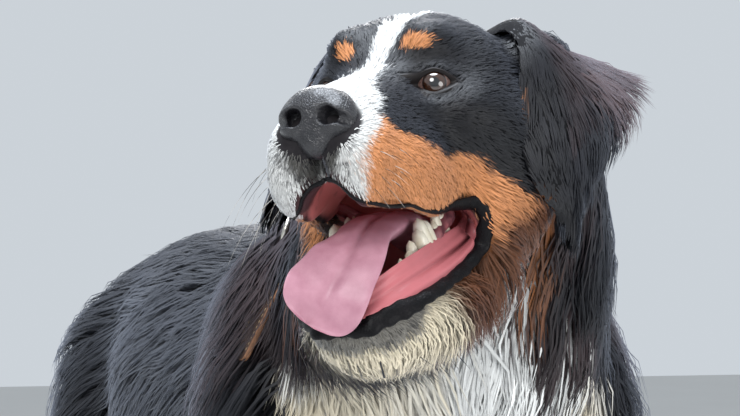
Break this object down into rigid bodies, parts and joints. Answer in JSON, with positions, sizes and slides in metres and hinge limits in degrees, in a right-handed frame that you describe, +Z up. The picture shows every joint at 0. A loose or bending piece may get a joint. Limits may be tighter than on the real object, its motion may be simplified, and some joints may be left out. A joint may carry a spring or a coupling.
{
  "type": "bernese mountain dog",
  "caption": "Life-size still model of a standing long-coated black, rust and white mountain dog, head turned to its right, mouth open with the tongue out, in a leather collar.",
  "frame": {"origin": "on the floor under the middle of the dog's overall box", "axes": "-Y towards the dog's chest, +X to the dog's left, +Z up; the head is turned to the dog's right"},
  "size_m": [0.3588, 1.0684, 0.7781],
  "materials": {
    "coat_black": "long glossy black hair with white and rust markings",
    "coat_rust": "rust hair with white toes",
    "jaw": "moist black lip, pink gum and short hair",
    "nose_leather": "moist pebbled skin",
    "tongue": "moist, fine papillae",
    "eye": "wet brown eye",
    "collar_leather": "worn brown strap with a paler edge",
    "buckle_metal": "cast metal, lightly scratched"
  },
  "bodies": {
    "root": {"torso": "coat_black", "neck": "coat_black", "tail": "coat_black", "foreleg_left": "coat_rust", "foreleg_right": "coat_rust", "hindleg_left": "coat_black", "hindleg_right": "coat_black", "hind_foot_left": "coat_rust", "hind_foot_right": "coat_rust", "head": "coat_black", "ear_left": "coat_black", "ear_right": "coat_black", "lower_jaw": "jaw", "nose": "nose_leather", "tongue": "tongue", "eye_left": "eye", "eye_right": "eye", "collar": "collar_leather", "collar_end": "collar_leather", "collar_buckle": "buckle_metal"}
  },
  "joints": []
}
